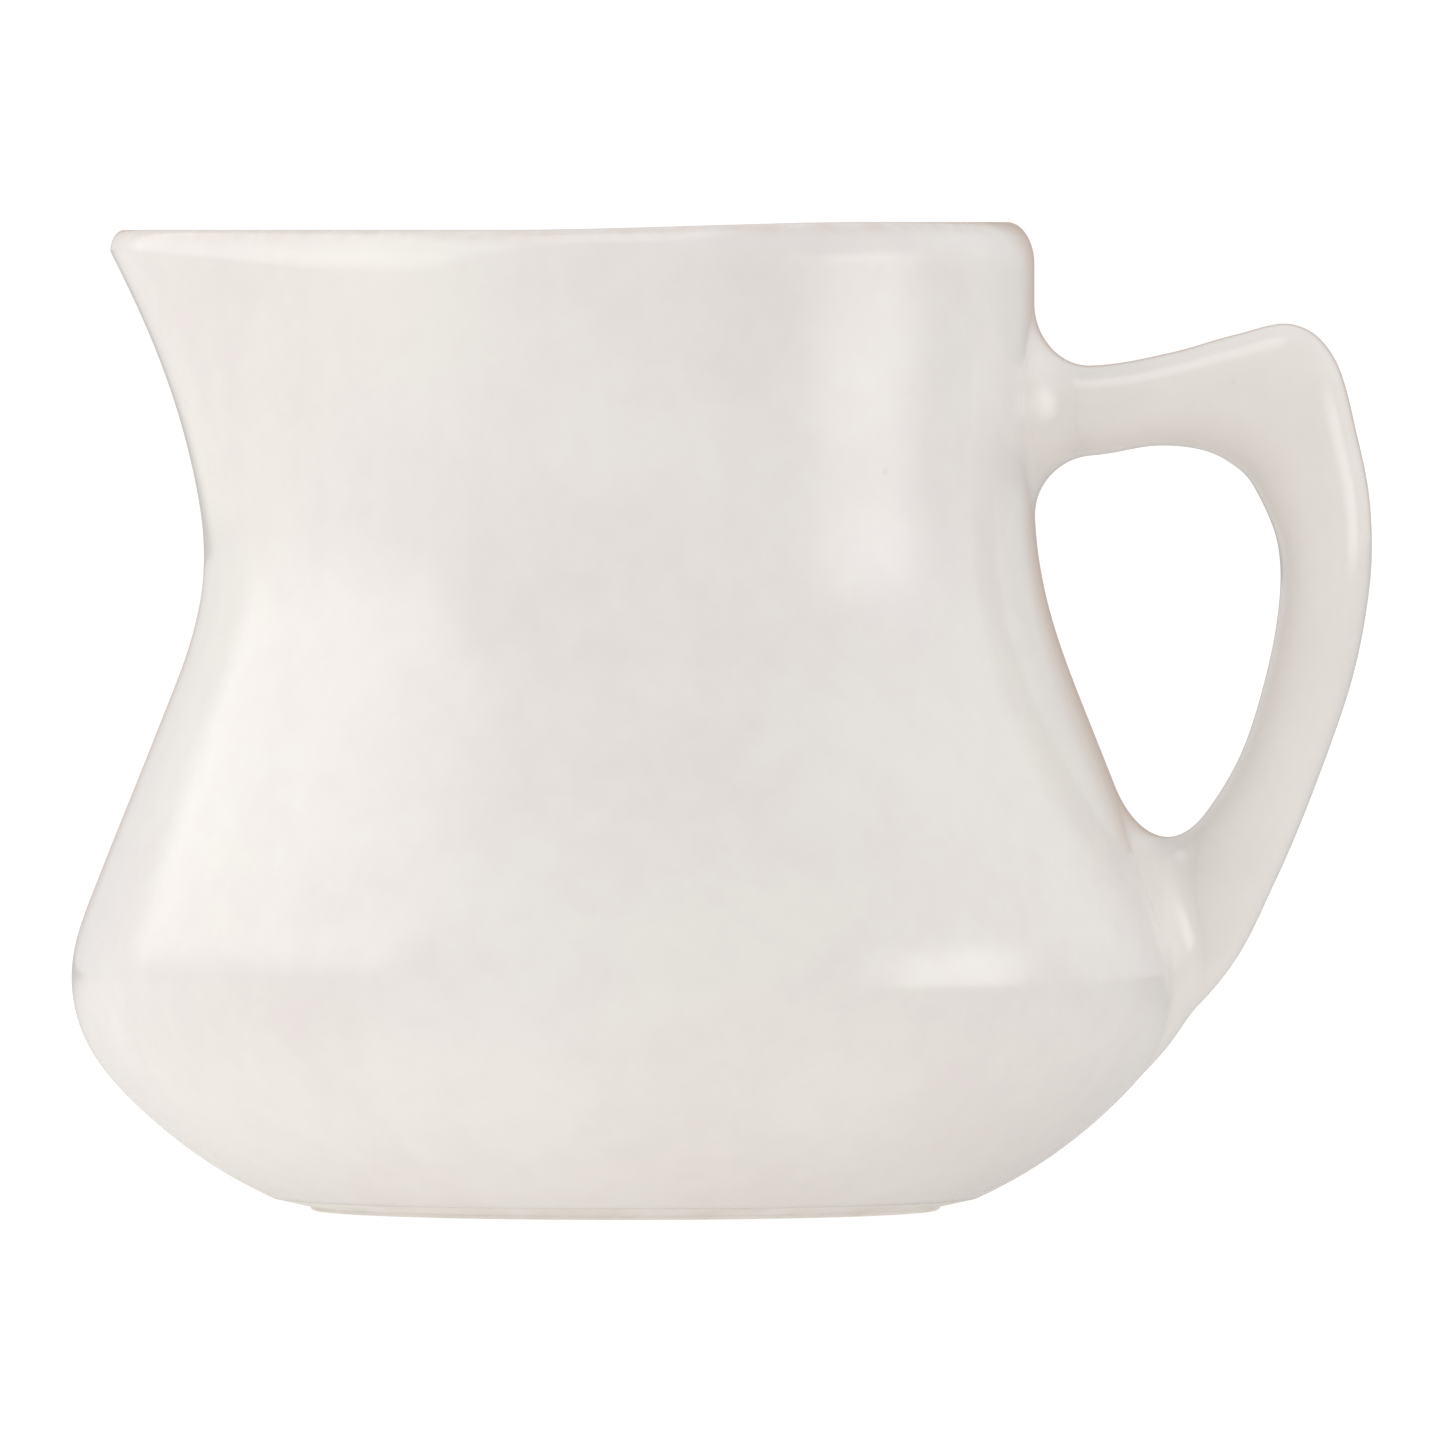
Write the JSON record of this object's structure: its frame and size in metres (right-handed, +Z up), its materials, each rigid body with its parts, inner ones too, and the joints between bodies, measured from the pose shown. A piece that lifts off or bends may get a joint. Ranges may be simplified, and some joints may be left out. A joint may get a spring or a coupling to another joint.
{
  "type": "ceramic pitcher",
  "caption": "Squat round-bellied glazed ceramic pitcher with a pulled pouring spout and a luted loop handle, for serving milk or cream.",
  "frame": {"origin": "centre of the foot, on the plane that the foot stands on", "axes": "+Z up the body's axis, +X towards the handle, -X towards the spout, +Y across; the pictured side faces -Y"},
  "size_m": [0.1301, 0.111, 0.0988],
  "materials": {
    "glazed_body": "glossy warm white glaze",
    "glazed_handle": "glossy warm white glaze",
    "glazed_slip": "glossy warm white glaze, pooled a little",
    "bare_foot": "matt unglazed fired clay"
  },
  "bodies": {
    "root": {"body": "glazed_body", "foot_ring": "bare_foot", "handle": "glazed_handle", "upper_joint_slip": "glazed_slip", "lower_joint_slip": "glazed_slip"}
  },
  "joints": []
}
